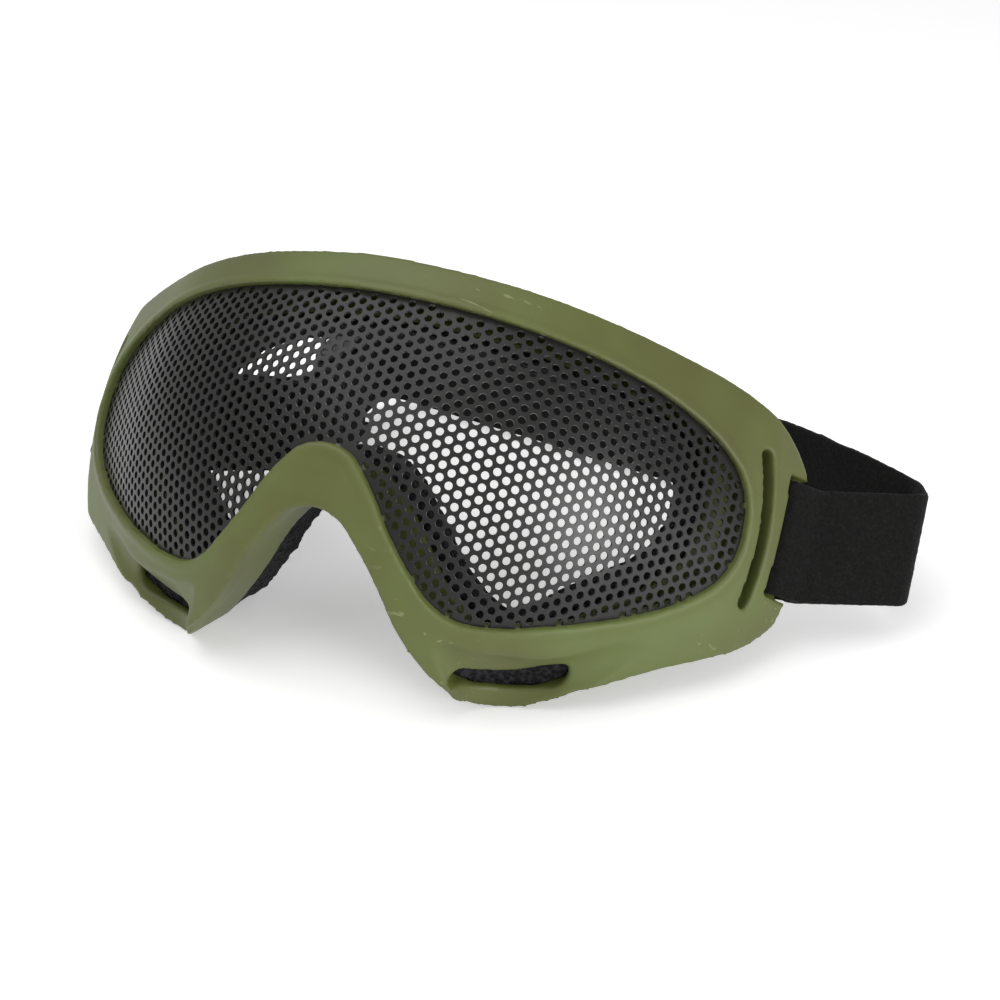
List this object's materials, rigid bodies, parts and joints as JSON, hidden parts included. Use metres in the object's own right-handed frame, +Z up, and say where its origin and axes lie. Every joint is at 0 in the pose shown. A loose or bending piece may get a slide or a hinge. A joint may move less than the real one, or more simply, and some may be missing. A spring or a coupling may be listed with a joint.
{
  "type": "mesh safety goggles",
  "caption": "Safety goggles with a curved perforated metal lens in a soft moulded frame, a foam face seal and an adjustable elastic strap.",
  "frame": {"origin": "on the surface it stands on, under the middle of its bounding box", "axes": "+X to the wearer's left along the width, +Y back towards the wearer's head, +Z up as it lies leaned back on its cheek lobes"},
  "size_m": [0.1992, 0.13, 0.0813],
  "materials": {
    "frame_tpu": "matte",
    "mesh_steel": "satin",
    "foam": "matte",
    "webbing": "matte",
    "adjuster": "satin",
    "thread": "matte"
  },
  "bodies": {
    "goggles": {"frame": "frame_tpu", "mesh_lens": "mesh_steel", "face_foam": "foam", "vent_foam_left": "foam", "vent_foam_right": "foam", "right_end_loop": "webbing", "left_end_loop": "webbing"},
    "strap": {"strap_band": "webbing", "right_sewn_end": "webbing", "left_strap_turn": "webbing", "return_layer": "webbing", "right_end_stitching": "thread"},
    "adjuster": {"adjuster_slider": "adjuster", "slider_end_loop": "webbing", "slider_end_stitching": "thread"}
  },
  "joints": [
    {"name": "strap_swing", "type": "hinge", "parent": "goggles", "child": "strap", "pos_m": [-0.01193, -0.0062, 0.02382], "axis": [1, 0, 0], "range_deg": [-40, 10], "deforming": ["right_sewn_end", "left_strap_turn", "return_layer", "right_end_stitching"]},
    {"name": "slider_slide", "type": "slide", "parent": "strap", "child": "adjuster", "axis": [0, 1, 0], "range_m": [-0.006, 0.012], "deforming": ["return_layer"]}
  ]
}
